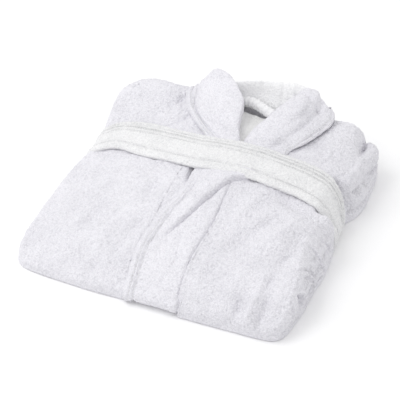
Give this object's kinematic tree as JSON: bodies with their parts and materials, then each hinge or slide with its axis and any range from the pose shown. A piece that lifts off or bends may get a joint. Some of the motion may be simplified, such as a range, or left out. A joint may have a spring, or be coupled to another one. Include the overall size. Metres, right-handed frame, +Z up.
{
  "type": "bathrobe",
  "caption": "Folded terry bathrobe with a shawl collar, lying face up, with its tie belt wrapped round the bundle.",
  "frame": {"origin": "centre of the folded bundle's footprint, on the surface it rests on", "axes": "+X to the wearer's left, +Y to the collar, +Z up. Names use the wearer's left and right, so left_lapel is on the +X side and right_lapel on the -X side. The front fold is at -Y"},
  "size_m": [0.4072, 0.4134, 0.1145],
  "materials": {
    "terry": "looped cotton terry, matt, with a soft nap",
    "belt_terry": "low-loop terry with stitched edges, matt",
    "tape": "plain-woven cotton tape, matt"
  },
  "bodies": {
    "bundle": {"right_front_panel": "terry", "left_front_panel": "terry", "left_front_band": "terry", "right_front_band": "terry", "back_panel": "terry", "left_sleeve": "terry", "right_sleeve": "terry", "left_cuff": "terry", "right_cuff": "terry", "left_pocket": "terry", "right_pocket": "terry", "left_belt_loop": "tape", "right_belt_loop": "tape", "collar_stand": "terry", "neck_tape": "tape"},
    "belt": {"belt": "belt_terry"},
    "left_lapel": {"left_lapel": "terry"},
    "right_lapel": {"right_lapel": "terry"},
    "collar_fall": {"collar_back_fall": "terry"},
    "hanger_loop": {"hanger_loop": "tape"}
  },
  "joints": [
    {"name": "belt_slide", "type": "slide", "parent": "bundle", "child": "belt", "axis": [0, -1, 0], "range_m": [0, 0.42]},
    {"name": "left_lapel_hinge", "type": "hinge", "parent": "bundle", "child": "left_lapel", "pos_m": [0.035, 0.08, 0.0852], "axis": [-0.2817, -0.939, -0.1972], "range_deg": [0, 95]},
    {"name": "right_lapel_hinge", "type": "hinge", "parent": "bundle", "child": "right_lapel", "pos_m": [0.018, 0.082, 0.086], "axis": [-0.4674, 0.8479, 0.25], "range_deg": [0, 95]},
    {"name": "collar_fall_hinge", "type": "hinge", "parent": "bundle", "child": "collar_fall", "pos_m": [-0.02, 0.167, 0.1128], "axis": [0.9755, 0.2201, 0], "range_deg": [0, 120]},
    {"name": "hanger_loop_hinge", "type": "hinge", "parent": "bundle", "child": "hanger_loop", "pos_m": [-0.00693, 0.15539, 0.082], "axis": [0.9755, 0.2201, 0], "range_deg": [0, 90]}
  ]
}
